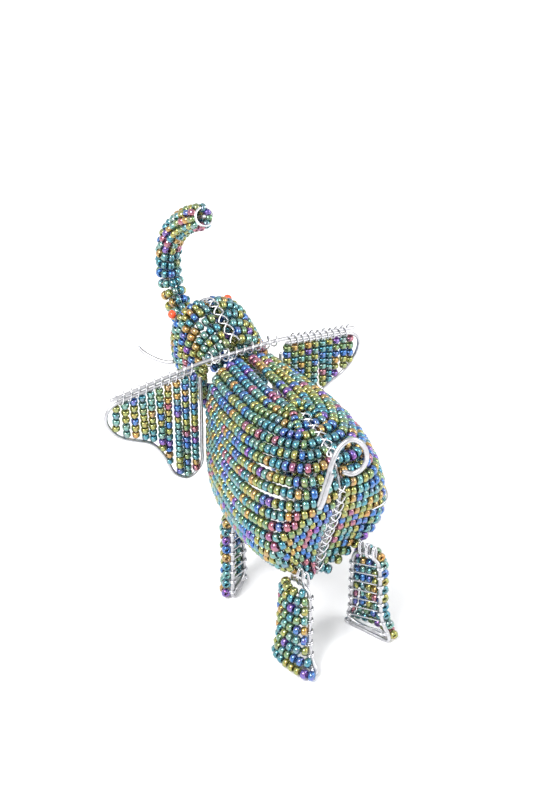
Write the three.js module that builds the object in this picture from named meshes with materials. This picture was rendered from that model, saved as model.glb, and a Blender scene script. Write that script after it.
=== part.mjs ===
// A small elephant made of galvanised wire and glass seed beads.
// Frame wires carry rows of beads; thin binding wire ties the rows to the frame.
// Units are millimetres, +Z is up, the elephant faces -Y and its left side is +X.
// While it is built, y = 0 is the plane of the neck; the finished group is then
// moved so that its origin is under the middle of the whole elephant, on the floor.
import * as THREE from 'three';

// ---- driving dimensions -------------------------------------------------
const SKIN = 2.4;              // thickness of a beaded skin
const FRAME = 1.3;             // diameter of the frame wire
const BINDING = 0.5;           // diameter of the binding wire
const OVER_BEADS = 1.85;       // height of binding wire above the middle of the beads
const WIRE_STEP = 1.75;        // two frame wires side by side, middle to middle

const NECK_HALF_WIDTH = 12.2;  // front end of the body, to the middle of the beads
const NECK_TOP = 73;
const CHEST_BOTTOM = 26;
const NECK_SQUARENESS = 3.6;   // exponent of the rounded-box outline
const BODY_FRONT = 2;          // y where the body rows begin
const BULGE = 8.2;             // how far the flank swells beyond the neck
const RUMP_START = 0.5;        // share of a row before it rounds into the rump
const RUMP_SQUARENESS = [2.3, 5];  // near the spine, near the belly
const HAUNCH = 3.5;             // how far each haunch stands behind the seam
const SEAM = [[31.5, 74.4], [79, 75], [49, 50], [46, 21.5]];  // cubic curve in y, z
const SEAM_GAP = 1.35;         // half of the slot that the seam wire lies in
const BACK_SHARE = 0.47;       // share of the rows that belongs to the back
const BELLY_OPEN = 0.84;       // share of the rows where the open belly begins
const PANEL_GAP = 0.008;       // share of a row left free between two beaded panels
const RAIL_HEIGHT = 28.2;      // wires along the open belly
const HOOP_INSET = 3.9;        // middle of a hoop below the middle of the beads
const CLEARANCE = 0.35;        // smallest gap between two pieces that lie together

const CHEST_HALF_WIDTH = 9.6;  // beaded panel that closes the front of the body
const CHEST_TOP = 47.6;
const CHEST_FOOT = 28.5;
const CHEST_Y = -1.9;
const CHEST_BULGE = 3;

const BAR_Y = -1.2;            // bar across the neck, ear tip to ear tip
const BAR_TOP = 74.8;
const BAR_BEND = 13.4;         // x where the bar starts to slope down
const BAR_TIP_Z = 70.9;
const EAR_REACH = { left: 43.4, right: 40.4 };
const EAR_ROOT = 13.9;         // x of the inner edge of an ear

const HEAD_RINGS = [           // y, z, half width, half height, neck to trunk
  [-3.6, 62.4, 10.3, 12.6],
  [-12, 65, 11, 13.4],
  [-19, 66.6, 11, 14.6],
  [-25, 66.6, 10.2, 12.6],
  [-29.5, 66, 7.6, 8.4],
  [-34.5, 65, 3.4, 3.6],
];
const HEAD_SEAM_GAP = 0.5;
const TRUNK_LINE = [           // y, z
  [-36.2, 64.9], [-43, 67.2], [-48.4, 71.8], [-50.6, 79.4],
  [-48.6, 88.6], [-42.6, 97], [-34, 104], [-24.5, 109.6],
];
const TRUNK_RADIUS = 4.4;
const TRUNK_BORE = 1.5;
const TRUNK_SPLIT = 0.55;      // share of the trunk's length where the upper sleeve starts
const EYE = 2.8;
const NECK_COIL = 1.35;        // radius of the winding round the neck bar
const EAR_COIL = 1.3;          // the same round the bar and an ear's top wire
const COIL_TURNS = 8;
const TIP_LOOP = 2.9;          // radius of the loop at the trunk's tip

const TAIL_LINE = [            // x, y, z from the seam outwards
  [0, 59.4, 69.6], [-2.2, 60.6, 68.7], [-4.7, 61.4, 70.1], [-6, 62, 73.8], [-4.9, 61.6, 78.2],
  [-1.9, 60.6, 80.8], [1.5, 60.2, 79.4], [4.1, 60.8, 76.2], [5.8, 61.3, 71.7], [7.6, 61.8, 66.9],
  [9.2, 62.2, 62.6],
];
const TUSK_LINE = [            // x, y, z on the left side, cheek to tip
  [13.2, -20.4, 63.9], [15.4, -22, 63.6], [17.6, -24.6, 64], [19.6, -27.4, 64.9], [21.2, -29.8, 66.6],
];

const RIGHT_TUSK_SPREAD = 0.35; // the right tusk is bent closer to the cheek

const LEG_ROWS = 0.22;         // share of a leg's height that its foot rows cover
const LEG_BULGE = 2.3;
const HIND_PROFILE = { toe: [-8.2, -6, -4.8], heel: [8.4, 4.6, 4.8] };
const FORE_PROFILE = { toe: [-5.4, -4.6, -4.4], heel: [5.6, 4.4, 4.4] };
const HIND_LEFT_LEAN = [-3.9, -7.1];   // how far the top of the leg stands from its foot in x, y
const HIND_RIGHT_LEAN = [1, -1.5];
const UPRIGHT = [0, 0];
const RUNGS = 8;               // bare wires across the open side of a leg
const RUNG_DEPTH = 1.3;        // how far inside the frame wire they lie
const RUNG_DROP = 1.6;         // how much lower a rung ends at the heel
const RUNG_INSET = 0.4;
const LEGS = [                 // place of the frame on the floor and the way it bulges
  { name: 'hind_left', side: 1, x: 12.6, y: 58, lean: HIND_LEFT_LEAN, facing: 13, top: 25.2,
    profile: HIND_PROFILE },
  { name: 'hind_right', side: -1, x: -13.2, y: 56, lean: HIND_RIGHT_LEAN, facing: 204, top: 29.9,
    profile: HIND_PROFILE },
  { name: 'fore_left', side: 1, x: 12.2, y: 18.8, lean: UPRIGHT, facing: -50, top: 28,
    profile: FORE_PROFILE },
  { name: 'fore_right', side: -1, x: -12.2, y: 18.8, lean: UPRIGHT, facing: 230, top: 28,
    profile: FORE_PROFILE },
];

// ---- finishes -------------------------------------------------------------
function finish(colour, roughness, metalness) {
  return new THREE.MeshStandardMaterial({ color: colour, roughness, metalness });
}
const galvanised = finish(0xa9abae, 0.38, 1.0);
const silverWire = finish(0xc4c6ca, 0.28, 1.0);
const irisBeads = finish(0x3f6a6c, 0.25, 0.9);
const orangeBead = finish(0xe4502a, 0.3, 0.0);

// ---- small tools --------------------------------------------------------------
const elephant = new THREE.Group();

function add(name, geometry, material) {
  const mesh = new THREE.Mesh(geometry, material);
  mesh.name = name;
  elephant.add(mesh);
  return mesh;
}

function point(x, y, z) {
  return new THREE.Vector3(x, y, z);
}

function mix(a, b, t) {
  return a + (b - a) * t;
}

function smooth(low, high, value) {
  return THREE.MathUtils.smoothstep(value, low, high);
}

// A wire of the given diameter along a smooth curve through the points.
function wire(points, diameter, steps, sides = 6) {
  const section = new THREE.Shape();
  const corners = [];
  for (let k = 0; k < sides; k += 1) {
    const angle = ((k + 0.5) * 2 * Math.PI) / sides;
    corners.push(new THREE.Vector2(Math.cos(angle), Math.sin(angle)).multiplyScalar(diameter / 2));
  }
  section.setFromPoints(corners);
  const path = new THREE.CatmullRomCurve3(points, false, 'centripetal');
  return new THREE.ExtrudeGeometry(section, { extrudePath: path, steps, bevelEnabled: false });
}

// Closed solid from a grid of corner points: rows of columns, and how it closes.
function signedVolume(corners, faces) {
  let volume = 0;
  for (const [a, b, c] of faces) {
    volume += corners[a].dot(point(0, 0, 0).crossVectors(corners[b], corners[c])) / 6;
  }
  return volume;
}

function solid(corners, faces) {
  const turned = signedVolume(corners, faces) < 0;
  const positions = [];
  for (const [a, b, c] of faces) {
    const order = turned ? [a, c, b] : [a, b, c];
    order.forEach((k) => positions.push(corners[k].x, corners[k].y, corners[k].z));
  }
  const geometry = new THREE.BufferGeometry();
  geometry.setAttribute('position', new THREE.Float32BufferAttribute(positions, 3));
  geometry.computeVertexNormals();
  return geometry;
}

// A wire pulled straight from corner to corner, with a mitre at each corner.
function pulledWire(points, diameter, sides = 6) {
  const ways = points.slice(1).map((next, k) => next.clone().sub(points[k]).normalize());
  const across = ways[0].clone().cross(point(0, 0, 1)).normalize();
  const over = across.clone().cross(ways[0]);
  let ring = [];
  for (let i = 0; i < sides; i += 1) {
    const angle = (i / sides) * 2 * Math.PI;
    const reach = across.clone().multiplyScalar(Math.cos(angle)).addScaledVector(over, Math.sin(angle));
    ring.push(points[0].clone().addScaledVector(reach, diameter / 2));
  }
  const corners = [...ring];
  const faces = [];
  for (let k = 1; k < points.length; k += 1) {
    const way = ways[k - 1];
    const mitre = way.clone().add(ways[Math.min(k, ways.length - 1)]);
    ring = ring.map((corner) => {
      const travel = points[k].clone().sub(corner).dot(mitre) / way.dot(mitre);
      return corner.clone().addScaledVector(way, travel);
    });
    for (let i = 0; i < sides; i += 1) {
      const [a, b] = [(k - 1) * sides + i, (k - 1) * sides + ((i + 1) % sides)];
      faces.push([a, a + sides, b + sides], [a, b + sides, b]);
    }
    corners.push(...ring);
  }
  const end = corners.length - sides;
  for (let i = 1; i < sides - 1; i += 1) faces.push([0, i, i + 1], [end, end + i + 1, end + i]);
  return solid(corners, faces);
}

// Direction square to a surface, from small steps along it.
function squareTo(surface, u, v) {
  const step = 0.01;
  const alongU = surface(Math.min(u + step, 1), v).sub(surface(Math.max(u - step, 0), v));
  const alongV = surface(u, Math.min(v + step, 1)).sub(surface(u, Math.max(v - step, 0)));
  return alongU.cross(alongV).normalize();
}

// A beaded skin: the surface u, v in 0..1 thickened to both sides.
function skin(surface, columns, rows, thickness = SKIN) {
  const corners = [];
  const faces = [];
  const layer = (columns + 1) * (rows + 1);
  for (const side of [0.5, -0.5]) {
    for (let j = 0; j <= rows; j += 1) {
      for (let i = 0; i <= columns; i += 1) {
        const [u, v] = [i / columns, j / rows];
        const out = squareTo(surface, u, v).multiplyScalar(side * thickness);
        corners.push(surface(u, v).add(out));
      }
    }
  }
  const at = (i, j) => j * (columns + 1) + i;
  for (let j = 0; j < rows; j += 1) {
    for (let i = 0; i < columns; i += 1) {
      const [a, b, c, d] = [at(i, j), at(i + 1, j), at(i + 1, j + 1), at(i, j + 1)];
      faces.push([a, b, c], [a, c, d]);
      faces.push([layer + a, layer + c, layer + b], [layer + a, layer + d, layer + c]);
    }
  }
  const rim = [];
  for (let i = 0; i < columns; i += 1) rim.push([at(i, 0), at(i + 1, 0)]);
  for (let j = 0; j < rows; j += 1) rim.push([at(columns, j), at(columns, j + 1)]);
  for (let i = columns; i > 0; i -= 1) rim.push([at(i, rows), at(i - 1, rows)]);
  for (let j = rows; j > 0; j -= 1) rim.push([at(0, j), at(0, j - 1)]);
  for (const [a, b] of rim) faces.push([a, layer + a, b], [b, layer + a, layer + b]);
  return solid(corners, faces);
}

// Point at a share of the length of a list of points.
function along(points, share) {
  const lengths = [0];
  for (let k = 1; k < points.length; k += 1) {
    lengths.push(lengths[k - 1] + points[k].distanceTo(points[k - 1]));
  }
  const wanted = share * lengths[lengths.length - 1];
  let k = 1;
  while (k < points.length - 1 && lengths[k] < wanted) k += 1;
  const t = (wanted - lengths[k - 1]) / (lengths[k] - lengths[k - 1]);
  return points[k - 1].clone().lerp(points[k], t);
}

// ---- body: rows of beads from the neck to the rump seam -----------------------
// Front outline of the body, top to bottom on the left side: a rounded box.
const FRONT_OUTLINE = [];
const FRONT_MIDDLE = (NECK_TOP + CHEST_BOTTOM) / 2;
const FRONT_HALF_HEIGHT = (NECK_TOP - CHEST_BOTTOM) / 2;
for (let k = 0; k <= 80; k += 1) {
  const angle = (k / 80) * Math.PI;
  const across = Math.sin(angle) ** (2 / NECK_SQUARENESS);
  const up = Math.sign(Math.cos(angle)) * Math.abs(Math.cos(angle)) ** (2 / NECK_SQUARENESS);
  FRONT_OUTLINE.push(point(NECK_HALF_WIDTH * across, BODY_FRONT, FRONT_MIDDLE + FRONT_HALF_HEIGHT * up));
}

// Rump seam in the middle plane, top to bottom.
const SEAM_LINE = [];
for (let k = 0; k <= 60; k += 1) {
  const t = k / 60;
  const weights = [(1 - t) ** 3, 3 * t * (1 - t) ** 2, 3 * t * t * (1 - t), t ** 3];
  const y = weights.reduce((sum, w, n) => sum + w * SEAM[n][0], 0);
  const z = weights.reduce((sum, w, n) => sum + w * SEAM[n][1], 0);
  SEAM_LINE.push(point(0, y, z));
}

// One half of the body: s runs from the neck to the rump seam, v from spine to belly.
function body(side, s, v) {
  const front = along(FRONT_OUTLINE, v);
  const seam = along(SEAM_LINE, v);
  const turn = Math.max(0, (s - RUMP_START) / (1 - RUMP_START)) * (Math.PI / 2);
  const straight = RUMP_START * 0.92;
  const round = 2 / mix(RUMP_SQUARENESS[0], RUMP_SQUARENESS[1], smooth(0.25, 0.7, v));
  const forward = turn > 0
    ? straight + (1 - straight) * Math.sin(turn) ** round
    : (s / RUMP_START) * straight;
  const closing = Math.max(Math.cos(turn), 0) ** round;
  const lowSwell = Math.sin(Math.PI * v ** 1.6) ** 0.9;
  const swell = BULGE * Math.sin((Math.PI / 2) * Math.min(forward / 0.8, 1)) ** 0.8 * lowSwell;
  const haunch = HAUNCH * Math.sin(turn * 2) ** 2 * smooth(0.45, 0.8, v);
  const x = mix(0.2, SEAM_GAP, smooth(0.7, 1, s)) + (front.x + swell) * closing;
  return point(side * x, mix(front.y, seam.y, forward) + haunch, mix(front.z, seam.z, forward));
}

function bellyEdge(s) {
  return mix(BELLY_OPEN, 0.985, smooth(0.6, 0.9, s));
}

// A point of the body moved outwards (or inwards, with a negative height).
function onBody(side, s, v, height) {
  const out = squareTo((a, b) => body(side, a, b), s, v).multiplyScalar(-side * height);
  return body(side, s, v).add(out);
}

for (const [name, side] of [['left', 1], ['right', -1]]) {
  const back = (u, v) => body(side, u, v * BACK_SHARE);
  const panel = (from, to) => (u, v) => {
    const s = mix(from, to, u);
    return body(side, s, mix(BACK_SHARE + PANEL_GAP, bellyEdge(s), v));
  };
  add(`back_beads_${name}`, skin(back, 14, 6), irisBeads);
  add(`flank_beads_${name}`, skin(panel(0, RUMP_START - PANEL_GAP), 7, 7), irisBeads);
  add(`haunch_beads_${name}`, skin(panel(RUMP_START, 1), 7, 7), irisBeads);
}

// ---- frame wires inside the body -------------------------------------------------
const seamWire = [0.02, 0.15, 0.3, 0.45, 0.6, 0.75, 0.9, 0.99].map((v) => along(SEAM_LINE, v));
add('rump_seam_wire', wire(seamWire, FRAME, 22), galvanised);

const spineTop = NECK_TOP - SKIN / 2 - FRAME / 2 - CLEARANCE;
add('spine_wire', wire([point(0, 1.6, spineTop), point(0, 15, spineTop + 0.5), point(0, 29, spineTop + 1)],
  FRAME, 6), galvanised);

function hoop(s, inset) {
  const shares = [0.82, 0.7, 0.55, 0.4, 0.28, 0.16, 0.06];
  const left = shares.map((v) => onBody(1, s, v, -inset));
  const right = shares.map((v) => onBody(-1, s, v, -inset)).reverse();
  return [...left, ...right];
}
add('shoulder_hoop', wire(hoop(0.03, HOOP_INSET), FRAME, 34), galvanised);
add('barrel_hoop', wire(hoop(0.42, HOOP_INSET), FRAME, 34), galvanised);

for (const [name, side] of [['left', 1], ['right', -1]]) {
  const rail = [point(side * 5.8, 3.5, RAIL_HEIGHT), point(side * 6, 19, RAIL_HEIGHT - 0.3),
    point(side * 5.6, 34, RAIL_HEIGHT)];
  add(`belly_rail_${name}`, wire(rail, FRAME, 8), galvanised);
}

function chest(u, v) {
  const x = mix(-CHEST_HALF_WIDTH, CHEST_HALF_WIDTH, u);
  const z = mix(CHEST_TOP, CHEST_FOOT, v);
  const across = 1 - (x / (1.25 * CHEST_HALF_WIDTH)) ** 2;
  return point(x, CHEST_Y - CHEST_BULGE * across * Math.sin(Math.PI * mix(0.25, 0.8, v)), z);
}
add('chest_beads', skin(chest, 8, 5), irisBeads);

// Binding wire that crosses a seam from side to side over the beads.
function stitches(place, count) {
  const points = [];
  for (let k = 0; k <= count; k += 1) points.push(place(k / count, k % 2 === 0 ? 1 : -1));
  return points;
}
function seamStitch(from, to) {
  return (t, side) => {
    const v = mix(from, to, t);
    const here = along(SEAM_LINE, v);
    const ahead = along(SEAM_LINE, Math.min(v + 0.01, 1)).sub(along(SEAM_LINE, Math.max(v - 0.01, 0)));
    const out = point(0, -ahead.z, ahead.y).normalize().multiplyScalar(OVER_BEADS + 0.3);
    return here.add(out).add(point(side * 2.1, 0, 0));
  };
}
add('rump_lashing_upper', wire(stitches(seamStitch(0.03, 0.31), 10), BINDING, 40, 4), silverWire);
add('rump_lashing_lower', wire(stitches(seamStitch(0.42, 0.93), 14), BINDING, 56, 4), silverWire);

const haunchTie = [0.93, 0.86, 0.79, 0.72, 0.65].map((s) => onBody(-1, s, 0.6, OVER_BEADS));
add('haunch_tie', wire(haunchTie, BINDING, 14, 4), silverWire);

// ---- legs: a bent frame wire, rows of beads outside it, bare lacing inside ------
function legShape(leg) {
  const angle = THREE.MathUtils.degToRad(leg.facing);
  const outward = point(Math.cos(angle), Math.sin(angle), 0);
  const heelward = point(-Math.sin(angle), Math.cos(angle), 0).multiplyScalar(leg.side);
  const edge = (stops, height) => (height < 0.4
    ? mix(stops[0], stops[1], Math.sin((height / 0.4) * (Math.PI / 2)))
    : mix(stops[1], stops[2], (height - 0.4) / 0.6));
  const at = (a, o, z) => {
    const share = z / leg.top;
    const axis = point(leg.x + leg.lean[0] * share, leg.y + leg.lean[1] * share, z);
    return axis.addScaledVector(heelward, a).addScaledVector(outward, o);
  };
  return { at, toe: (h) => edge(leg.profile.toe, h), heel: (h) => edge(leg.profile.heel, h) };
}

for (const leg of LEGS) {
  const { at, toe, heel } = legShape(leg);
  const low = FRAME / 2;
  const high = low + WIRE_STEP;
  const frame = [at(heel(0) - 2.6, 0, high), at(toe(0) + 2.4, 0, high), at(toe(0) + 0.5, 0, high + 1.3)];
  for (const h of [0.25, 0.5, 0.75]) frame.push(at(toe(h), 0, h * leg.top));
  frame.push(at(toe(1) + 0.8, 0, leg.top), at((toe(1) + heel(1)) / 2, 0, leg.top + 1.2));
  frame.push(at(heel(1) - 0.8, 0, leg.top));
  for (const h of [0.75, 0.5, 0.25]) frame.push(at(heel(h), 0, h * leg.top));
  frame.push(at(heel(0.06), 0, high + 0.9), at(heel(0) - 0.3, 0, low + 1), at(heel(0) - 1.2, 0, low + 0.3));
  const sole = [heel(0) - 2.5, heel(0) - 3.5, heel(0) - 4.5, toe(0) + 3.4, toe(0) + 2.2, toe(0) + 1];
  for (const a of sole) frame.push(at(a, 0, low));
  add(`leg_frame_${leg.name}`, wire(frame, FRAME, 44), galvanised);

  const shell = (from, to) => (u, v) => {
    const h = mix(from, to, v);
    const round = Math.PI * mix(0.02, 0.98, u);
    const [t, e] = [toe(h), heel(h)];
    const a = (t + e) / 2 - ((e - t) / 2) * Math.cos(round);
    return at(a, 1.5 + LEG_BULGE * Math.sin(round) ** 0.8, mix(1.1, leg.top - 1.2, h));
  };
  add(`foot_beads_${leg.name}`, skin(shell(0, LEG_ROWS), 8, 2), irisBeads);
  add(`leg_beads_${leg.name}`, skin(shell(LEG_ROWS + 0.015, 1), 8, 6), irisBeads);

  const lacing = [];
  for (let k = 0; k < RUNGS; k += 1) {
    const h = mix(0.93, 0.2, k / (RUNGS - 1));
    const toeEnd = at(toe(h) + RUNG_INSET, -RUNG_DEPTH, h * leg.top);
    const heelEnd = at(heel(h) - RUNG_INSET, -RUNG_DEPTH, h * leg.top - RUNG_DROP);
    lacing.push(...(k % 2 === 0 ? [toeEnd, heelEnd] : [heelEnd, toeEnd]));
  }
  add(`leg_lacing_${leg.name}`, pulledWire(lacing, BINDING), silverWire);
}

// ---- neck bar and ears --------------------------------------------------------------
function barHeight(x, reach) {
  return BAR_TOP - (BAR_TOP - BAR_TIP_Z) * Math.max(0, (Math.abs(x) - BAR_BEND) / (reach - BAR_BEND));
}
function barPoint(x) {
  return point(x, BAR_Y, barHeight(x, x > 0 ? EAR_REACH.left : EAR_REACH.right));
}
const barStops = [-EAR_REACH.right, -30, -20, -BAR_BEND - 1, -BAR_BEND + 1.5, 0,
  BAR_BEND - 1.5, BAR_BEND + 1, 20, 30, EAR_REACH.left];
add('neck_bar', wire(barStops.map(barPoint), FRAME, 26), galvanised);

// A coil of binding wire round the bar, or round the bar and the wire below it.
function coil(place, turns, half, drop) {
  const points = [];
  const perTurn = 6;
  for (let k = 0; k <= turns * perTurn; k += 1) {
    const angle = (k / perTurn) * 2 * Math.PI;
    const middle = place(k / (turns * perTurn));
    const tall = half + drop / 2;
    points.push(middle.add(point(0, half * Math.sin(angle), tall * Math.cos(angle) - drop / 2)));
  }
  return points;
}
const neckCoil = coil((t) => barPoint(mix(-12, 12, t)), COIL_TURNS, NECK_COIL, 0);
add('neck_lashing', wire(neckCoil, BINDING, 64, 4), silverWire);

// Lower edge of an ear over x, as a share of its reach.
const EAR_STOPS = [[0.325, 37.5], [0.41, 33.8], [0.49, 35], [0.555, 38], [0.585, 41.8], [0.63, 46.2],
  [0.7, 50.8], [0.79, 53.2], [0.94, 56.8], [1.03, 62.3], [1.04, 66]];
const EAR_EDGE = new THREE.SplineCurve(EAR_STOPS.map(([x, z]) => new THREE.Vector2(x, z)));

for (const [name, side] of [['left', 1], ['right', -1]]) {
  const reach = EAR_REACH[name];
  const earZ = (x) => barHeight(x, reach) - WIRE_STEP;
  const ear = (x, z) => point(side * x, BAR_Y, z);
  const outline = [ear(EAR_ROOT + 1.4, earZ(EAR_ROOT + 1.4)), ear(22, earZ(22)), ear(32, earZ(32)),
    ear(reach - 2, earZ(reach - 2)), ear(reach + 0.6, earZ(reach) - 1.2)];
  for (let k = 20; k >= 0; k -= 1) {
    const spot = EAR_EDGE.getPoint(k / 20);
    outline.push(ear(Math.max(spot.x * reach, EAR_ROOT), spot.y));
  }
  outline.push(ear(EAR_ROOT, 44), ear(EAR_ROOT - 0.2, 56), ear(EAR_ROOT, 70));
  add(`ear_frame_${name}`, wire(outline, FRAME, 56, 5), galvanised);

  const edgeSamples = EAR_EDGE.getPoints(60);
  const lowest = (x) => {
    const k = edgeSamples.findIndex((spot) => spot.x * reach >= x);
    return k <= 0 ? edgeSamples[0].y : edgeSamples[k].y;
  };
  const strands = (u, v) => {
    const x = mix(EAR_ROOT + 2.4, reach - 1.6, u);
    return ear(x, mix(earZ(x) - 2.1, lowest(x) + 2.6, v));
  };
  add(`ear_beads_${name}`, skin(strands, 11, 4, 2.2), irisBeads);

  const onBar = (t) => barPoint(side * mix(BAR_BEND + 3.4, reach - 2.4, t));
  const earCoil = coil(onBar, COIL_TURNS, EAR_COIL, WIRE_STEP);
  add(`ear_lashing_${name}`, wire(earCoil, BINDING, 64, 4), silverWire);
}

// ---- head ------------------------------------------------------------------------------
const headMiddle = new THREE.CatmullRomCurve3(HEAD_RINGS.map(([y, z]) => point(0, y, z)));
const headSize = new THREE.CatmullRomCurve3(HEAD_RINGS.map(([, , a, b]) => point(a, b, 0)));
function head(side, s, v) {
  const middle = headMiddle.getPoint(s);
  const size = headSize.getPoint(s);
  const angle = Math.PI * mix(0.012, 0.988, v);
  const across = Math.sin(angle) ** 0.85;
  const up = Math.sign(Math.cos(angle)) * Math.abs(Math.cos(angle)) ** 0.85;
  return middle.add(point(side * (HEAD_SEAM_GAP + size.x * across), 0, size.y * up));
}
function onHead(side, s, v, height) {
  const out = squareTo((a, b) => head(side, a, b), s, v).multiplyScalar(side * height);
  return head(side, s, v).add(out);
}
for (const [name, side] of [['left', 1], ['right', -1]]) {
  add(`head_beads_${name}`, skin((u, v) => head(side, u, v), 9, 9), irisBeads);
  const eye = new THREE.SphereGeometry(EYE / 2, 10, 8);
  const spot = onHead(side, 0.66, 0.26, SKIN / 2 + EYE / 2 + 0.3);
  const mesh = add(`eye_${name}`, eye, orangeBead);
  mesh.position.copy(spot);
}
const headStitch = (t, side) => {
  const s = mix(0.04, 0.55, t);
  const middle = headMiddle.getPoint(s);
  return point(side * 1.7, middle.y, middle.z + headSize.getPoint(s).y + OVER_BEADS);
};
add('head_lashing', wire(stitches(headStitch, 10), BINDING, 40, 4), silverWire);

// ---- trunk: beads in rings round a core wire --------------------------------------------
const trunkPath = new THREE.CatmullRomCurve3(TRUNK_LINE.map(([y, z]) => point(0, y, z)));

// A tube with a bore along part of a curve that lies in the middle plane.
function sleeve(path, from, to, stations, sides, radius, bore) {
  const corners = [];
  const faces = [];
  const layer = (stations + 1) * sides;
  for (const size of [radius, bore]) {
    for (let j = 0; j <= stations; j += 1) {
      const t = mix(from, to, j / stations);
      const [middle, forward] = [path.getPoint(t), path.getTangent(t)];
      const up = point(1, 0, 0).cross(forward);
      for (let i = 0; i < sides; i += 1) {
        const angle = (i / sides) * 2 * Math.PI;
        const reach = point(Math.cos(angle), 0, 0).addScaledVector(up, Math.sin(angle));
        corners.push(middle.clone().addScaledVector(reach, size));
      }
    }
  }
  for (let i = 0; i < sides; i += 1) {
    const next = (i + 1) % sides;
    for (let j = 0; j < stations; j += 1) {
      const [a, b] = [j * sides + i, j * sides + next];
      const [c, d] = [b + sides, a + sides];
      faces.push([a, b, c], [a, c, d], [layer + a, layer + c, layer + b], [layer + a, layer + d, layer + c]);
    }
    const [e, f] = [stations * sides + i, stations * sides + next];
    faces.push([i, layer + i, next], [next, layer + i, layer + next]);
    faces.push([e, f, layer + e], [f, layer + f, layer + e]);
  }
  return solid(corners, faces);
}
const trunkSleeves = [['trunk_beads_lower', 0, TRUNK_SPLIT - 0.005], ['trunk_beads_upper', TRUNK_SPLIT, 1]];
for (const [name, from, to] of trunkSleeves) {
  add(name, sleeve(trunkPath, from, to, 8, 10, TRUNK_RADIUS, TRUNK_BORE), irisBeads);
}
const core = [point(0, -27, 65.6)];
for (let k = 0; k <= 10; k += 1) core.push(trunkPath.getPoint(k / 10));
const tipWay = trunkPath.getTangent(1);
const tip = trunkPath.getPoint(1);
core.push(tip.clone().addScaledVector(tipWay, 1.6));
add('trunk_core_wire', wire(core, FRAME, 34), galvanised);

const tipLoop = [];
const tipUp = point(1, 0, 0).cross(tipWay);
for (let k = 0; k <= 12; k += 1) {
  const angle = mix(0.1, 1.9 * Math.PI, k / 12);
  const spot = tip.clone().addScaledVector(tipWay, 1.2).addScaledVector(tipUp, TIP_LOOP * Math.cos(angle));
  tipLoop.push(spot.add(point(TIP_LOOP * Math.sin(angle), 0, 0)));
}
add('trunk_tip_loop', wire(tipLoop, BINDING * 1.6, 24, 5), silverWire);

// ---- tusks and tail -------------------------------------------------------------------
for (const [name, side] of [['left', 1], ['right', -1]]) {
  const spread = side > 0 ? 1 : RIGHT_TUSK_SPREAD;
  const root = TUSK_LINE[0][0];
  const tusk = TUSK_LINE.map(([x, y, z]) => point(side * mix(root, x, spread), y, z));
  add(`tusk_${name}`, wire(tusk, FRAME, 12), galvanised);
}
add('tail_wire', wire(TAIL_LINE.map(([x, y, z]) => point(x, y, z)), FRAME, 40), galvanised);

// ---- origin: on the floor under the middle of the elephant --------------------------------
const extent = new THREE.Box3().setFromObject(elephant, true);
const centre = extent.getCenter(new THREE.Vector3());
elephant.position.set(-centre.x, -centre.y, -extent.min.z);

export default elephant;
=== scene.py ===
import math
import random

import bmesh
import bpy
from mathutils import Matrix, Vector


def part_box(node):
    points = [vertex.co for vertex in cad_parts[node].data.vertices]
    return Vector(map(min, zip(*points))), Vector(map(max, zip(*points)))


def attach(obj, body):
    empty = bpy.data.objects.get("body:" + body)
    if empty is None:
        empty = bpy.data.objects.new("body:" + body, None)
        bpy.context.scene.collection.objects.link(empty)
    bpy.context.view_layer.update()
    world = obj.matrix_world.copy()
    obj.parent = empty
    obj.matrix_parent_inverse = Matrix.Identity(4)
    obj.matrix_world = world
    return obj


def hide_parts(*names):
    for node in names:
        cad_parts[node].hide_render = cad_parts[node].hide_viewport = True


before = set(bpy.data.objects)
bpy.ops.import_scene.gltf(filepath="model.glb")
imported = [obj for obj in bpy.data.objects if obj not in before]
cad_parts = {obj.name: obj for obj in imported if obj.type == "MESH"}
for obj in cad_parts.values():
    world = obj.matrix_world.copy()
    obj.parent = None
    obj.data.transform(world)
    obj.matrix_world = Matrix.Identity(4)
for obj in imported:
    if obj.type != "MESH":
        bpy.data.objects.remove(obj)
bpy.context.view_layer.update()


# ---- frame wires ---------------------------------------------------------------
# The skeleton is galvanised steel wire, bent cold and left bare. Each wire keeps the
# path of its CAD node; a merged, rounded copy takes the node's place.
ROUNDING_LOSS = 0.00005
galvanised = bpy.data.materials.new("galvanised wire")
galvanised.use_nodes = True
shader = galvanised.node_tree.nodes["Principled BSDF"]
shader.inputs["Metallic"].default_value = 1.0
shader.inputs["Roughness"].default_value = 0.36
zinc_noise = galvanised.node_tree.nodes.new("ShaderNodeTexNoise")
zinc_noise.inputs["Scale"].default_value = 700.0
zinc_tone = galvanised.node_tree.nodes.new("ShaderNodeValToRGB")
zinc_tone.color_ramp.elements[0].color = (0.36, 0.36, 0.38, 1)
zinc_tone.color_ramp.elements[1].color = (0.66, 0.66, 0.68, 1)
zinc_place = galvanised.node_tree.nodes.new("ShaderNodeTexCoord")
links = galvanised.node_tree.links
links.new(zinc_place.outputs["Object"], zinc_noise.inputs["Vector"])
links.new(zinc_noise.outputs["Fac"], zinc_tone.inputs["Fac"])
links.new(zinc_tone.outputs["Color"], shader.inputs["Base Color"])


def plain_mesh(source, name):
    """The evaluated shape of source as a plain piece; source is removed."""
    ready = source.evaluated_get(bpy.context.evaluated_depsgraph_get())
    piece = bpy.data.objects.new(name, bpy.data.meshes.new_from_object(ready))
    bpy.context.scene.collection.objects.link(piece)
    bpy.data.objects.remove(source)
    return piece


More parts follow.
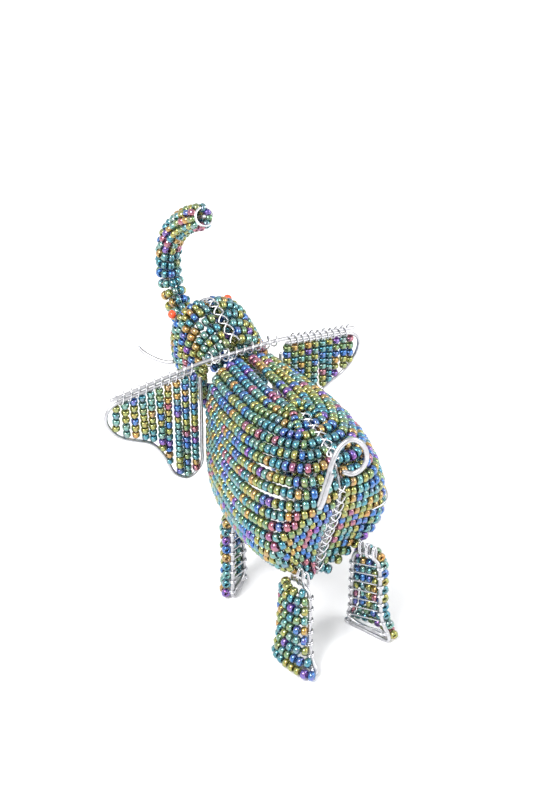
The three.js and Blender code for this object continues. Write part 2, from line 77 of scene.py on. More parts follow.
def rounded_copy(node, material, body, thicker=ROUNDING_LOSS):
    name = node + "_round"
    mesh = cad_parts[node].data.copy()
    work = bmesh.new()
    work.from_mesh(mesh)
    bmesh.ops.remove_doubles(work, verts=work.verts, dist=0.000002)
    work.to_mesh(mesh)
    work.free()
    source = bpy.data.objects.new(name + " rough", mesh)
    bpy.context.scene.collection.objects.link(source)
    rounding = source.modifiers.new("rounding", "SUBSURF")
    rounding.levels = 1
    rounding.render_levels = 1
    piece = plain_mesh(source, name)
    for vertex in piece.data.vertices:
        vertex.co += vertex.normal * thicker
    piece.data.shade_smooth()
    piece.data.materials.clear()
    piece.data.materials.append(material)
    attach(piece, body)
    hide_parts(node)
    return piece


LEG_NAMES = ("hind_left", "hind_right", "fore_left", "fore_right")
figure_wires = ["rump_seam_wire", "spine_wire", "shoulder_hoop", "barrel_hoop", "belly_rail_left",
                "belly_rail_right", "neck_bar", "trunk_core_wire", "tusk_left", "tusk_right"]
figure_wires += ["leg_frame_" + leg for leg in LEG_NAMES]
for node in figure_wires:
    rounded_copy(node, galvanised, "figure")
TAIL_THICKER = 0.0002
rounded_copy("tail_wire", galvanised, "tail", TAIL_THICKER)
for side in ("left", "right"):
    rounded_copy("ear_frame_" + side, galvanised, side + "_ear")


# ---- strings of beads -------------------------------------------------------------
# Opaque glass seed beads with a metallic iris coating, threaded on thin wire. One tree
# strings them along any line; each bead sits a little crooked and has its own colour.
BEAD_LENGTH = 0.00212
BEAD_DIAMETER = 0.0030
BEAD_BORE = 0.0011
THREAD = 0.0004
BEAD_SIDES = 9

iris = bpy.data.materials.new("iris glass")
iris.use_nodes = True
iris_nodes = iris.node_tree.nodes
links = iris.node_tree.links
shader = iris_nodes["Principled BSDF"]
shader.inputs["Metallic"].default_value = 0.85
shader.inputs["Roughness"].default_value = 0.2
shader.inputs["Coat Weight"].default_value = 0.5
shader.inputs["Coat Roughness"].default_value = 0.05
tone = iris_nodes.new("ShaderNodeAttribute")
tone.attribute_name = "bead_tone"
coating = iris_nodes.new("ShaderNodeValToRGB")
coating.color_ramp.interpolation = "CONSTANT"
COATINGS = [
    (0.00, (0.070, 0.265, 0.350)),   # teal
    (0.20, (0.160, 0.360, 0.350)),   # pale blue green
    (0.35, (0.360, 0.350, 0.080)),   # olive gold
    (0.53, (0.200, 0.310, 0.130)),   # green
    (0.65, (0.045, 0.150, 0.520)),   # cobalt
    (0.80, (0.520, 0.290, 0.070)),   # bronze
    (0.90, (0.430, 0.105, 0.200)),   # rose
    (0.96, (0.200, 0.070, 0.460)),   # violet
]
ramp = coating.color_ramp.elements
while len(ramp) < len(COATINGS):
    ramp.new(1.0)
for element, (start, colour) in zip(ramp, COATINGS):
    element.position = start
    element.color = (*colour, 1)
film_place = iris_nodes.new("ShaderNodeTexCoord")
film = iris_nodes.new("ShaderNodeTexNoise")
film.inputs["Scale"].default_value = 650.0
film_colour = iris_nodes.new("ShaderNodeValToRGB")
FILM = [(0.34, (0.03, 0.09, 0.28)), (0.45, (0.06, 0.24, 0.22)), (0.55, (0.28, 0.27, 0.07)),
        (0.66, (0.33, 0.07, 0.15))]
film_ramp = film_colour.color_ramp.elements
while len(film_ramp) < len(FILM):
    film_ramp.new(1.0)
for element, (start, colour) in zip(film_ramp, FILM):
    element.position = start
    element.color = (*colour, 1)
blend = iris_nodes.new("ShaderNodeMix")
blend.data_type = "RGBA"
blend.inputs["Factor"].default_value = 0.3
links.new(tone.outputs["Fac"], coating.inputs["Fac"])
links.new(film_place.outputs["Object"], film.inputs["Vector"])
links.new(film.outputs["Fac"], film_colour.inputs["Fac"])
links.new(coating.outputs["Color"], blend.inputs["A"])
links.new(film_colour.outputs["Color"], blend.inputs["B"])
links.new(blend.outputs["Result"], shader.inputs["Base Color"])


def new_tree(name, inputs):
    tree = bpy.data.node_groups.new(name, "GeometryNodeTree")
    tree.interface.new_socket("Geometry", in_out="INPUT", socket_type="NodeSocketGeometry")
    for label, kind in inputs:
        tree.interface.new_socket(label, in_out="INPUT", socket_type=kind)
    tree.interface.new_socket("Geometry", in_out="OUTPUT", socket_type="NodeSocketGeometry")
    return tree


def bead_tree():
    tree = new_tree("strung beads", [("Length", "NodeSocketFloat"), ("Diameter", "NodeSocketFloat"),
                                     ("Bore", "NodeSocketFloat"), ("Crooked", "NodeSocketFloat"),
                                     ("Seed", "NodeSocketInt"), ("Glass", "NodeSocketMaterial")])
    add = tree.nodes.new
    join = tree.links.new
    given = add("NodeGroupInput")

    def maths(kind, a, b):
        node = add("ShaderNodeMath")
        node.operation = kind
        for socket, value in zip(node.inputs, (a, b)):
            if isinstance(value, (int, float)):
                socket.default_value = value
            else:
                join(value, socket)
        return node.outputs[0]

    # one bead: a rounded section swept round the bore
    wall = maths("SUBTRACT", given.outputs["Diameter"], given.outputs["Bore"])
    middle = maths("MULTIPLY", maths("ADD", given.outputs["Diameter"], given.outputs["Bore"]), 0.25)
    round_way = add("GeometryNodeCurvePrimitiveCircle")
    round_way.inputs["Resolution"].default_value = BEAD_SIDES
    join(middle, round_way.inputs["Radius"])
    section = add("GeometryNodeCurvePrimitiveCircle")
    section.inputs["Resolution"].default_value = 6
    section.inputs["Radius"].default_value = 1.0
    turned = add("GeometryNodeTransform")
    turned.inputs["Rotation"].default_value = (0, 0, math.pi / 6)
    join(section.outputs["Curve"], turned.inputs["Geometry"])
    stretch = add("ShaderNodeCombineXYZ")
    join(maths("MULTIPLY", wall, 0.29), stretch.inputs["X"])
    join(maths("MULTIPLY", given.outputs["Length"], 0.49), stretch.inputs["Y"])
    stretch.inputs["Z"].default_value = 1.0
    sized = add("GeometryNodeTransform")
    join(turned.outputs["Geometry"], sized.inputs["Geometry"])
    join(stretch.outputs["Vector"], sized.inputs["Scale"])
    bead = add("GeometryNodeCurveToMesh")
    join(round_way.outputs["Curve"], bead.inputs["Curve"])
    join(sized.outputs["Geometry"], bead.inputs["Profile Curve"])

    # a place for each bead along the lines
    lines = add("GeometryNodeMeshToCurve")
    join(given.outputs["Geometry"], lines.inputs["Mesh"])
    places = add("GeometryNodeResampleCurve")
    places.mode = "LENGTH"
    join(lines.outputs["Curve"], places.inputs["Curve"])
    join(given.outputs["Length"], places.inputs["Length"])
    tangent = add("GeometryNodeInputTangent")
    aim = add("FunctionNodeAlignRotationToVector")
    aim.axis = "Z"
    join(tangent.outputs["Tangent"], aim.inputs["Vector"])
    lean = add("FunctionNodeRandomValue")
    lean.data_type = "FLOAT_VECTOR"
    join(maths("MULTIPLY", given.outputs["Crooked"], -1.0), lean.inputs[0])
    join(given.outputs["Crooked"], lean.inputs[1])
    join(given.outputs["Seed"], lean.inputs["Seed"])
    lean_turn = add("FunctionNodeEulerToRotation")
    join(lean.outputs[0], lean_turn.inputs["Euler"])
    turn = add("FunctionNodeRotateRotation")
    turn.rotation_space = "LOCAL"
    join(aim.outputs["Rotation"], turn.inputs["Rotation"])
    join(lean_turn.outputs["Rotation"], turn.inputs["Rotate By"])
    size = add("FunctionNodeRandomValue")
    size.data_type = "FLOAT_VECTOR"
    size.inputs[0].default_value = (0.93, 0.93, 0.84)
    size.inputs[1].default_value = (1.06, 1.06, 1.08)
    join(maths("ADD", given.outputs["Seed"], 1), size.inputs["Seed"])
    threaded = add("GeometryNodeInstanceOnPoints")
    join(places.outputs["Curve"], threaded.inputs["Points"])
    join(bead.outputs["Mesh"], threaded.inputs["Instance"])
    join(turn.outputs["Rotation"], threaded.inputs["Rotation"])
    join(size.outputs[0], threaded.inputs["Scale"])

    # its own colour, kept with the bead
    pick = add("FunctionNodeRandomValue")
    join(maths("ADD", given.outputs["Seed"], 2), pick.inputs["Seed"])
    stored = add("GeometryNodeStoreNamedAttribute")
    stored.domain = "INSTANCE"
    stored.inputs["Name"].default_value = "bead_tone"
    join(threaded.outputs["Instances"], stored.inputs["Geometry"])
    join(pick.outputs[1], stored.inputs["Value"])
    real = add("GeometryNodeRealizeInstances")
    join(stored.outputs["Geometry"], real.inputs["Geometry"])
    smooth_glass = add("GeometryNodeSetShadeSmooth")
    join(real.outputs["Geometry"], smooth_glass.inputs["Geometry"])
    painted = add("GeometryNodeSetMaterial")
    join(smooth_glass.outputs["Geometry"], painted.inputs["Geometry"])
    join(given.outputs["Glass"], painted.inputs["Material"])
    result = add("NodeGroupOutput")
    join(painted.outputs["Geometry"], result.inputs["Geometry"])
    return tree


strung = bead_tree()

# Build coordinates are millimetres from the neck plane; the frame tells where it lies.
BAR_Y = -1.2
seam_low, seam_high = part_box("rump_seam_wire")
bar_low, bar_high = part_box("neck_bar")
neck = Vector(((seam_low[0] + seam_high[0]) / 2, (bar_low[1] + bar_high[1]) / 2 - BAR_Y / 1000, 0))


def line_object(name, lines, closed):
    points = []
    edges = []
    for line in lines:
        first = len(points)
        points += [neck + Vector(p) / 1000 for p in line]
        edges += [(k, k + 1) for k in range(first, len(points) - 1)]
        if closed:
            edges.append((len(points) - 1, first))
    mesh = bpy.data.meshes.new(name)
    mesh.from_pydata(points, edges, [])
    source = bpy.data.objects.new(name + " lines", mesh)
    bpy.context.scene.collection.objects.link(source)
    return source


def grow(source, tree, settings, name):
    """Runs a tree on the lines of source and keeps the result as a plain piece."""
    growth = source.modifiers.new("growth", "NODES")
    growth.node_group = tree
    for item in tree.interface.items_tree:
        if item.in_out == "INPUT" and item.name in settings:
            growth[item.identifier] = settings[item.name]
    return plain_mesh(source, name)


seeds = iter(range(11, 4000, 10))


def beads(name, lines, body, nodes, closed=False, length=BEAD_LENGTH, diameter=BEAD_DIAMETER):
    settings = {"Length": length, "Diameter": diameter, "Bore": BEAD_BORE, "Crooked": 0.1,
                "Seed": next(seeds), "Glass": iris}
    piece = grow(line_object(name, lines, closed), strung, settings, name)
    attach(piece, body)
    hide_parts(*nodes)
    return piece


# ---- binding wire -------------------------------------------------------------------
# Thin bright wire: it threads the beads, and its bare runs lace the rows to the frame.
# One tree draws it, round and with closed ends, along any line.
BINDING = 0.5
bright = bpy.data.materials.new("bright binding wire")
bright.use_nodes = True
shader = bright.node_tree.nodes["Principled BSDF"]
shader.inputs["Base Color"].default_value = (0.66, 0.66, 0.69, 1)
shader.inputs["Metallic"].default_value = 1.0
shader.inputs["Roughness"].default_value = 0.24


def wire_tree():
    tree = new_tree("drawn wire", [("Diameter", "NodeSocketFloat"), ("Step", "NodeSocketFloat"),
                                   ("Sides", "NodeSocketInt"), ("Metal", "NodeSocketMaterial")])
    add = tree.nodes.new
    join = tree.links.new
    given = add("NodeGroupInput")
    lines = add("GeometryNodeMeshToCurve")
    join(given.outputs["Geometry"], lines.inputs["Mesh"])
    bends = add("GeometryNodeResampleCurve")
    bends.mode = "LENGTH"
    join(lines.outputs["Curve"], bends.inputs["Curve"])
    join(given.outputs["Step"], bends.inputs["Length"])
    radius = add("ShaderNodeMath")
    radius.operation = "MULTIPLY"
    radius.inputs[1].default_value = 0.5
    join(given.outputs["Diameter"], radius.inputs[0])
    section = add("GeometryNodeCurvePrimitiveCircle")
    join(given.outputs["Sides"], section.inputs["Resolution"])
    join(radius.outputs[0], section.inputs["Radius"])
    drawn = add("GeometryNodeCurveToMesh")
    drawn.inputs["Fill Caps"].default_value = True
    join(bends.outputs["Curve"], drawn.inputs["Curve"])
    join(section.outputs["Curve"], drawn.inputs["Profile Curve"])
    real = add("GeometryNodeRealizeInstances")
    join(drawn.outputs["Mesh"], real.inputs["Geometry"])
    smooth_metal = add("GeometryNodeSetShadeSmooth")
    join(real.outputs["Geometry"], smooth_metal.inputs["Geometry"])
    painted = add("GeometryNodeSetMaterial")
    join(smooth_metal.outputs["Geometry"], painted.inputs["Geometry"])
    join(given.outputs["Metal"], painted.inputs["Material"])
    result = add("NodeGroupOutput")
    join(painted.outputs["Geometry"], result.inputs["Geometry"])
    return tree


drawn_wire = wire_tree()


def binding(name, lines, body, nodes, diameter=BINDING, step=0.45, metal=bright):
    settings = {"Diameter": diameter / 1000, "Step": step / 1000, "Sides": 6, "Metal": metal}
    piece = grow(line_object(name, lines, False), drawn_wire, settings, name)
    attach(piece, body)
    if nodes:
        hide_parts(*nodes)
    return piece


# ---- body -----------------------------------------------------------------------------
# A hollow shell of twenty-one strings a side, from the neck back round each flank to the
# seam down the rump. The strings are wired to the neck bar in front and to the seam wire.
ROWS = 21
ROW_POINTS = 44
ROW_ENDS = (0.985, 0.992, 0.9965, 0.999)   # last steps round the rump, up to the seam
ROW_BEAD = 0.0032
NECK_HALF_WIDTH = 12.2
NECK_TOP = 73
CHEST_BOTTOM = 26
NECK_SQUARENESS = 3.6
BODY_FRONT = 2
BULGE = 8.2
RUMP_START = 0.5
RUMP_SQUARENESS = (2.3, 5)
HAUNCH = 3.5
SEAM = ((31.5, 74.4), (79, 75), (49, 50), (46, 21.5))
SEAM_GAP = 1.35
BELLY_OPEN = 0.84


def mix(a, b, t):
    return a + (b - a) * t


def smooth(low, high, value):
    t = min(max((value - low) / (high - low), 0), 1)
    return t * t * (3 - 2 * t)


def signed_power(value, power):
    return math.copysign(abs(value) ** power, value)


class Path:
    """Points with their running length, so that any share of it can be found."""

    def __init__(self, points):
        self.points = [Vector(p) for p in points]
        self.lengths = [0.0]
        for a, b in zip(self.points, self.points[1:]):
            self.lengths.append(self.lengths[-1] + (b - a).length)

    def at(self, share):
        wanted = share * self.lengths[-1]
        k = 1
        while k < len(self.points) - 1 and self.lengths[k] < wanted:
            k += 1
        t = (wanted - self.lengths[k - 1]) / (self.lengths[k] - self.lengths[k - 1])
        return self.points[k - 1].lerp(self.points[k], t)

    def way(self, share):
        return (self.at(min(share + 0.01, 1)) - self.at(max(share - 0.01, 0))).normalized()


outline = []
for k in range(81):
    angle = k / 80 * math.pi
    across = NECK_HALF_WIDTH * math.sin(angle) ** (2 / NECK_SQUARENESS)
    up = (NECK_TOP - CHEST_BOTTOM) / 2 * signed_power(math.cos(angle), 2 / NECK_SQUARENESS)
    outline.append((across, BODY_FRONT, (NECK_TOP + CHEST_BOTTOM) / 2 + up))
front_outline = Path(outline)

seam_points = []
for k in range(61):
    t = k / 60
    weights = ((1 - t) ** 3, 3 * t * (1 - t) ** 2, 3 * t * t * (1 - t), t ** 3)
    seam_points.append((0, sum(w * p[0] for w, p in zip(weights, SEAM)),
                        sum(w * p[1] for w, p in zip(weights, SEAM))))
seam_line = Path(seam_points)


def body_point(side, s, v):
    front = front_outline.at(v)
    seam = seam_line.at(v)
    turn = max(0, (s - RUMP_START) / (1 - RUMP_START)) * math.pi / 2
    straight = RUMP_START * 0.92
    power = 2 / mix(RUMP_SQUARENESS[0], RUMP_SQUARENESS[1], smooth(0.25, 0.7, v))
    forward = s / RUMP_START * straight
    if turn > 0:
        forward = straight + (1 - straight) * math.sin(turn) ** power
    closing = max(math.cos(turn), 0) ** power
    low_swell = max(math.sin(math.pi * v ** 1.6), 0) ** 0.9
    swell = BULGE * math.sin(math.pi / 2 * min(forward / 0.8, 1)) ** 0.8 * low_swell
    haunch = HAUNCH * math.sin(turn * 2) ** 2 * smooth(0.45, 0.8, v)
    x = mix(0.2, SEAM_GAP, smooth(0.7, 1, s)) + (front.x + swell) * closing
    return Vector((side * x, mix(front.y, seam.y, forward) + haunch, mix(front.z, seam.z, forward)))


def belly_edge(s):
    return mix(BELLY_OPEN, 0.985, smooth(0.6, 0.9, s))


# Where each string crosses a section: even steps along the true length of the section,
# because the shell swells and the strings stay side by side.
GIRTH_STEPS = 60
stations = [mix(0.01, 0.975, k / ROW_POINTS) for k in range(ROW_POINTS + 1)] + list(ROW_ENDS)
crossings = []
for s in stations:
    girth = [0.0]
    last = body_point(1, s, 0.012)
    for k in range(1, GIRTH_STEPS + 1):
        here = body_point(1, s, mix(0.012, 0.985, k / GIRTH_STEPS))
        girth.append(girth[-1] + (here - last).length)
        last = here
    shares = []
    for row in range(ROWS):
        wanted = (row + 0.5) / ROWS * girth[-1]
        k = next(n for n in range(1, GIRTH_STEPS + 1) if girth[n] >= wanted)
        t = (wanted - girth[k - 1]) / (girth[k] - girth[k - 1])
        shares.append(mix(0.012, 0.985, (k - 1 + t) / GIRTH_STEPS))
    crossings.append(shares)


def body_row(side, row, luck):
    phase = luck.uniform(0, 6.28)
    line = []
    for s, shares in zip(stations, crossings):
        v = shares[row]
        if v <= belly_edge(s):
            waver = 0.0025 * math.sin(7 * s + phase)
            line.append(body_point(side, s, min(v + waver, 0.985)))
    return line


luck = random.Random(5)
BODY_GROUPS = (("upper_back", ("back_beads",), 0, 5), ("lower_back", ("back_beads",), 5, 10),
               ("upper_flank", ("flank_beads", "haunch_beads"), 10, 15),
               ("lower_flank", ("flank_beads", "haunch_beads"), 15, 21))
for side_name, side in (("left", 1), ("right", -1)):
    threads = []
    for label, skins, first, last in BODY_GROUPS:
        rows = [body_row(side, row, luck) for row in range(first, last)]
        nodes = [skin + "_" + side_name for skin in skins]
        beads(label + "_beads_" + side_name, rows, "figure", nodes, diameter=ROW_BEAD)
        threads += rows
    binding("body_threads_" + side_name, threads, "figure", [], diameter=THREAD * 1000, step=1.4)

# A short string arches over the top of the seam.
arch = [(side * x, y, z) for side, x, y, z in (
    (-1, 4.2, 44, 73.2), (-1, 3.4, 38, 75.4), (-1, 1.9, 33.6, 76.2), (1, 0, 32.4, 76.4),
    (1, 1.9, 33.6, 76.2), (1, 3.4, 38, 75.4), (1, 4.2, 44, 73.2))]
beads("seam_arch_beads", [arch], "figure", ["back_beads_left"], length=0.0015, diameter=0.0026)

CHEST_ROWS = 6
CHEST_REACH = 8.8           # to the end of a string
CHEST_BOW_WIDTH = 12        # where the bow would die out
CHEST_BOW = 3
CHEST_Y = -1.9
CHEST_TOP = 47.6
CHEST_FOOT = 28.5
chest_rows = []
for row in range(CHEST_ROWS):
    v = (row + 0.5) / CHEST_ROWS
    chest_rows.append([])
    for k in range(13):
        x = mix(-CHEST_REACH, CHEST_REACH, k / 12)
        bow = CHEST_BOW * (1 - (x / CHEST_BOW_WIDTH) ** 2) * math.sin(math.pi * mix(0.25, 0.8, v))
        chest_rows[-1].append((x, CHEST_Y - bow, mix(CHEST_TOP, CHEST_FOOT, v)))
beads("chest_strings", chest_rows, "figure", ["chest_beads"])


# ---- rump stitching --------------------------------------------------------------------
# Binding wire crosses the seam wire from bead end to bead end, each crossing an X, and
# a tie runs from the seam over the right haunch.
STITCH = 1.7


def stitching(place, count):
    """Two zigzags, mirrored, that bow outwards where they pass over the seam wire."""
    lines = []
    for start in (1, -1):
        line = []
        for k in range(count * 4 + 1):
            swing = start * math.cos(k / 4 * math.pi)
            line.append(place(k / (count * 4), swing))
        lines.append(line)
    return lines


def over_seam(first, last):
    def place(t, swing):
        share = mix(first, last, t)
        way = seam_line.way(share)
        out = Vector((0, -way.z, way.y)) * (0.6 + 0.9 * (1 - swing * swing))
        return seam_line.at(share) + out + Vector((swing * STITCH, 0, 0))
    return place


binding("rump_stitching_upper", stitching(over_seam(0.06, 0.33), 7), "figure", ["rump_lashing_upper"])
binding("rump_stitching_lower", stitching(over_seam(0.4, 0.97), 10), "figure", ["rump_lashing_lower"])
rounded_copy("haunch_tie", bright, "figure")


# ---- tail end ----------------------------------------------------------------------------
# The tail's wire is bent back on itself at the tip, so that its last stretch is double.
TAIL_FOLD = ((5.4, 62.6, 72.6), (6.9, 62.9, 69), (8.5, 63.3, 64.7), (9.3, 63.3, 62.9),
             (9.35, 62.7, 62.5))
TAIL_DIAMETER = 1.4
binding("tail_folded_end", [TAIL_FOLD], "tail", [], TAIL_DIAMETER, step=0.3, metal=galvanised)


# ---- legs -------------------------------------------------------------------------------
# Each leg is one bent wire with a long foot. Strings of beads cover its outer side; the
# wire that threads them wraps the frame at each end and runs bare across the inner side.
LEG_BULGE = 2.3
LEG_STRINGS = {"hind_left": 8, "hind_right": 9, "fore_left": 8, "fore_right": 8}
HIND_PROFILE = ((-8.2, -6, -4.8), (8.4, 4.6, 4.8))
FORE_PROFILE = ((-5.4, -4.6, -4.4), (5.6, 4.4, 4.4))
HIND_LEFT_LEAN = (-3.9, -7.1)
HIND_RIGHT_LEAN = (1, -1.5)
UPRIGHT = (0, 0)
LEGS = (
    ("hind_left", 1, 12.6, 58, HIND_LEFT_LEAN, 13, 25.2, HIND_PROFILE),
    ("hind_right", -1, -13.2, 56, HIND_RIGHT_LEAN, 204, 29.9, HIND_PROFILE),
    ("fore_left", 1, 12.2, 18.8, UPRIGHT, -50, 28, FORE_PROFILE),
    ("fore_right", -1, -12.2, 18.8, UPRIGHT, 230, 28, FORE_PROFILE),
)
WRAP_TURNS = 1.6
WRAP_RADIUS = 0.95          # of the turns round the frame wire
CROWN_WIDTH = 0.75          # a shorter string over the arch at the top of the leg
CROWN_LIFT = 2.4
TIE_WAYS = (0.25, 0.5, 0.75)
TIE_TURNS = 2
TIE_STEPS = 12              # points in a turn
TIE_PITCH = 0.5
TIE_MIDDLE = 2.6            # above the top of the leg
TIE_REACH = 2.5


def leg_edge(stops, height):
    if height < 0.4:
        return mix(stops[0], stops[1], math.sin(height / 0.4 * math.pi / 2))
    return mix(stops[1], stops[2], (height - 0.4) / 0.6)


for leg, side, x, y, lean, facing, top, (toe_stops, heel_stops) in LEGS:
    angle = math.radians(facing)
    outward = Vector((math.cos(angle), math.sin(angle), 0))
    heelward = Vector((-math.sin(angle), math.cos(angle), 0)) * side

    def on_leg(a, o, z):
        axis = Vector((x + lean[0] * z / top, y + lean[1] * z / top, z))
        return axis + heelward * a + outward * o

    strings = LEG_STRINGS[leg]
    leg_rows = []
    for row in range(strings):
        h = mix(0.03, 0.97, row / (strings - 1))
        toe = leg_edge(toe_stops, h)
        heel = leg_edge(heel_stops, h)
        row_line = []
        for k in range(15):
            around = math.pi * mix(0.05, 0.95, k / 14)
            a = (toe + heel) / 2 - (heel - toe) / 2 * math.cos(around)
            o = 1.5 + LEG_BULGE * math.sin(around) ** 0.8
            row_line.append(on_leg(a, o, mix(1.6, top - 1.2, h)))
        leg_rows.append(row_line)
    last_row = leg_rows[-1]
    row_middle = (last_row[0] + last_row[-1]) / 2
    leg_rows.append([row_middle + (p - row_middle) * CROWN_WIDTH + Vector((0, 0, CROWN_LIFT))
                     for p in last_row])
    beads(leg + "_foot_beads", leg_rows[:3], "figure", ["foot_beads_" + leg])
    beads(leg + "_leg_beads", leg_rows[3:], "figure", ["leg_beads_" + leg])

    lacing = []
    for row in range(strings - 1):
        h = mix(0.95, 0.14, row / (strings - 2))
        run = []
        for stops, drop, turn_way in ((heel_stops, 0.0, 1), (toe_stops, 2.4, -1)):
            z = h * top - drop
            middle_a = leg_edge(stops, max(z / top, 0.03))
            for k in range(15):
                wind = math.pi * 1.5 + turn_way * WRAP_TURNS * 2 * math.pi * k / 14
                a = middle_a + WRAP_RADIUS * math.cos(wind)
                run.append(on_leg(a, WRAP_RADIUS * math.sin(wind), z - 0.9 * k / 14))
        lacing.append(run)
    binding(leg + "_lacing", lacing, "figure", ["leg_lacing_" + leg])

    # loops that tie the arch of the frame wire to the lowest strings of the body
    ties = []
    for share in TIE_WAYS:
        across = mix(leg_edge(toe_stops, 1), leg_edge(heel_stops, 1), share)
        tie = []
        for k in range(TIE_STEPS * TIE_TURNS + 1):
            turn = k / TIE_STEPS * 2 * math.pi
            along = across + TIE_PITCH * k / TIE_STEPS
            tie.append(on_leg(along, math.sin(turn), top + TIE_MIDDLE - TIE_REACH * math.cos(turn)))
        ties.append(tie)
    binding(leg + "_tie", ties, "figure", [])


# ---- neck bar winding and ears ----------------------------------------------------------
# One bar crosses the neck from ear tip to ear tip. Loose turns of binding wire hold the
# body to it, and tighter ones hold the top wire of each ear. Ears are near-upright strings.
BAR_TOP = 74.8
BAR_BEND = 13.4
BAR_TIP_Z = 70.9
EAR_REACH = {"left": 43.4, "right": 40.4}
EAR_ROOT = 13.9
WIRE_STEP = 1.75
EAR_STRINGS = 10
EAR_BEAD = 0.0026
EAR_STOPS = ((0.325, 37.5), (0.41, 33.8), (0.49, 35), (0.555, 38), (0.585, 41.8), (0.63, 46.2),
             (0.7, 50.8), (0.79, 53.2), (0.94, 56.8), (1.03, 62.3), (1.04, 66))


def bar_point(x):
    reach = EAR_REACH["left" if x > 0 else "right"]
    slope = max(0, (abs(x) - BAR_BEND) / (reach - BAR_BEND))
    return Vector((x, BAR_Y, BAR_TOP - (BAR_TOP - BAR_TIP_Z) * slope))


def winding(first, last, turns, half, drop, loose, luck):
    """Turns of wire round the bar, or round the bar and the wire below it."""
    line = []
    swell = [1 + luck.uniform(0, loose) for _ in range(turns + 1)]
    for k in range(turns * 12 + 1):
        angle = k / 12 * 2 * math.pi
        middle = bar_point(mix(first, last, k / (turns * 12)))
        size = half * mix(swell[k // 12], swell[min(k // 12 + 1, turns)], k % 12 / 12)
        tall = size + drop / 2
        line.append(middle + Vector((0, size * math.sin(angle), tall * math.cos(angle) - drop / 2)))
    return line


winding_luck = random.Random(8)
binding("neck_winding", [winding(-12.5, 12.5, 9, 1.15, 0, 0.7, winding_luck)], "figure", ["neck_lashing"])


def smooth_through(stops, t):
    """A point at share t of a smooth curve through the stops."""
    k = min(int(t * (len(stops) - 1)), len(stops) - 2)
    u = t * (len(stops) - 1) - k
    near = [Vector(stops[min(max(k + n, 0), len(stops) - 1)]) for n in (-1, 0, 1, 2)]
    return 0.5 * (2 * near[1] + (near[2] - near[0]) * u
                  + (2 * near[0] - 5 * near[1] + 4 * near[2] - near[3]) * u ** 2
                  + (3 * near[1] - near[0] - 3 * near[2] + near[3]) * u ** 3)


ear_edge = [smooth_through(EAR_STOPS, k / 60) for k in range(61)]
for side_name, side in (("left", 1), ("right", -1)):
    reach = EAR_REACH[side_name]
    strings = []
    for k in range(EAR_STRINGS):
        top_x = mix(EAR_ROOT + 2.2, reach - 1.8, k / (EAR_STRINGS - 1))
        low_x = top_x + winding_luck.uniform(-0.5, 0.5)
        low_z = next((p.y for p in ear_edge if p.x * reach >= low_x), ear_edge[-1].y)
        high = bar_point(side * top_x).z - WIRE_STEP - 1.9
        strings.append([(side * mix(top_x, low_x, t / 8), BAR_Y, mix(high, low_z + 2.0, t / 8))
                        for t in range(9)])
    body = side_name + "_ear"
    beads("ear_strings_" + side_name, strings, body, ["ear_beads_" + side_name], diameter=EAR_BEAD)
    coil = winding(side * (BAR_BEND + 3), side * (reach - 2), 10, 1.0, WIRE_STEP, 0.25, winding_luck)
    binding("ear_winding_" + side_name, [coil], body, ["ear_lashing_" + side_name])


# ---- head -------------------------------------------------------------------------------
# Two half shells of short strings that run from the stitched seam on top down each cheek.
# A plain orange bead makes each eye.
HEAD_RINGS = ((-3.6, 62.4, 10.3, 12.6), (-12, 65, 11, 13.4), (-19, 66.6, 11, 14.6),
              (-25, 66.6, 10.2, 12.6), (-29.5, 66, 7.6, 8.4), (-34.5, 65, 3.4, 3.6))
HEAD_SEAM_GAP = 0.5
HEAD_PITCH = 3.35
HEAD_ROUNDNESS = 0.85       # 1 is an ellipse, less is squarer


def head_point(side, s, v):
    y, z, wide, high = smooth_through(HEAD_RINGS, s)
    angle = math.pi * v
    across = HEAD_SEAM_GAP + wide * math.sin(angle) ** HEAD_ROUNDNESS
    up = high * signed_power(math.cos(angle), HEAD_ROUNDNESS)
    return Vector((side * across, y, z + up))


cheek = Path([head_point(1, k / 80, 0.35) for k in range(81)])
head_strings = int(cheek.lengths[-1] / HEAD_PITCH)
head_shares = []
for row in range(head_strings):
    wanted = (row + 0.5) * HEAD_PITCH
    head_shares.append(next(k for k in range(81) if cheek.lengths[k] >= wanted) / 80)
for side_name, side in (("left", 1), ("right", -1)):
    rows = [[head_point(side, s, mix(0.05, 0.95, k / 20)) for k in range(21)] for s in head_shares]
    beads("head_strings_" + side_name, rows, "figure", ["head_beads_" + side_name])


def over_head(t, swing):
    y, z, wide, high = smooth_through(HEAD_RINGS, mix(0.04, 0.62, t))
    return Vector((swing * 1.6, y, z + high + 0.7 + 0.9 * (1 - swing * swing)))


binding("head_stitching", stitching(over_head, 7), "figure", ["head_lashing"])

orange = bpy.data.materials.new("orange glass")
orange.use_nodes = True
shader = orange.node_tree.nodes["Principled BSDF"]
shader.inputs["Base Color"].default_value = (0.80, 0.09, 0.03, 1)
shader.inputs["Roughness"].default_value = 0.22
for side in ("left", "right"):
    rounded_copy("eye_" + side, orange, "figure")


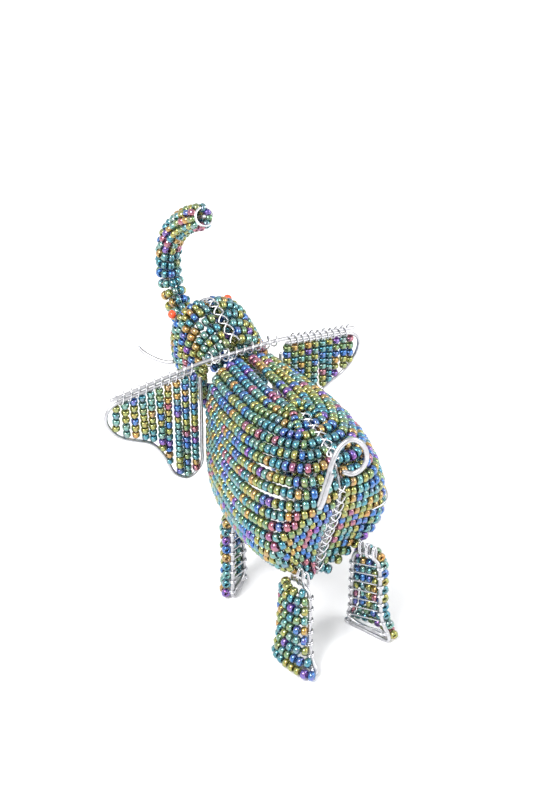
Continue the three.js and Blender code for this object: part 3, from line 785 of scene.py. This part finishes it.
# ---- trunk --------------------------------------------------------------------------------
# Rings of beads pushed on to a core wire; the tip stays open and ends in a loop of wire.
TRUNK_LINE = ((0, -36.2, 64.9), (0, -43, 67.2), (0, -48.4, 71.8), (0, -50.6, 79.4),
              (0, -48.6, 88.6), (0, -42.6, 97), (0, -34, 104), (0, -24.5, 109.6))
RING_PITCH = 3.7
RING_RADIUS = 2.9
TRUNK_SPLIT = 0.55
trunk = Path([smooth_through(TRUNK_LINE, k / 120) for k in range(121)])
rings = {"trunk_beads_lower": [], "trunk_beads_upper": []}
ring_count = int(trunk.lengths[-1] / RING_PITCH)
for ring in range(ring_count):
    share = (ring + 0.4) / ring_count
    middle = trunk.at(share)
    up = Vector((1, 0, 0)).cross(trunk.way(share))
    around = []
    for k in range(24):
        angle = 2 * math.pi * k / 24
        around.append(middle + RING_RADIUS * (Vector((math.cos(angle), 0, 0)) + up * math.sin(angle)))
    rings["trunk_beads_lower" if share < TRUNK_SPLIT else "trunk_beads_upper"].append(around)
for node, lines in rings.items():
    beads(node + "_rings", lines, "figure", [node], closed=True)
rounded_copy("trunk_tip_loop", bright, "figure")


# ---- floor, light and camera -----------------------------------------------------------
# A plain pale floor under soft studio light, seen from behind, to the left and above.
bpy.ops.mesh.primitive_plane_add(size=6, location=(0, 0, 0))
floor = bpy.context.object
floor.name = "floor"
pale = bpy.data.materials.new("pale floor")
pale.use_nodes = True
shader = pale.node_tree.nodes["Principled BSDF"]
shader.inputs["Base Color"].default_value = (0.93, 0.93, 0.94, 1)
shader.inputs["Roughness"].default_value = 0.9
floor.data.materials.append(pale)

world = bpy.data.worlds.new("studio")
bpy.context.scene.world = world
world.use_nodes = True
world.node_tree.nodes["Background"].inputs["Color"].default_value = (1, 1, 1, 1)
world.node_tree.nodes["Background"].inputs["Strength"].default_value = 1.0


def softbox(name, place, power, size):
    light = bpy.data.lights.new(name, "AREA")
    light.energy = power
    light.size = size
    lamp = bpy.data.objects.new(name, light)
    lamp.location = place
    lamp.rotation_euler = (Vector((0, 0, 0.06)) - Vector(place)).to_track_quat("-Z", "Y").to_euler()
    bpy.context.scene.collection.objects.link(lamp)


softbox("key_softbox", (0.55, 0.25, 0.75), 9.0, 0.35)
softbox("fill_softbox", (-0.6, 0.5, 0.5), 4.0, 0.5)

AZIMUTH = math.radians(151.2)
ELEVATION = math.radians(35.06)
DISTANCE = 0.4885
LENS = 74.4
back = Vector((math.sin(AZIMUTH) * math.cos(ELEVATION), -math.cos(AZIMUTH) * math.cos(ELEVATION),
               math.sin(ELEVATION)))
target = neck + Vector((0.0035, 0.02367, 0.0713))
lens = bpy.data.cameras.new("camera")
lens.lens = LENS
lens.sensor_width = 36
lens.clip_start = 0.01
camera = bpy.data.objects.new("camera", lens)
camera.location = target + back * DISTANCE
camera.rotation_euler = back.to_track_quat("Z", "Y").to_euler()
bpy.context.scene.collection.objects.link(camera)
bpy.context.scene.camera = camera
bpy.context.scene.view_settings.view_transform = "Standard"
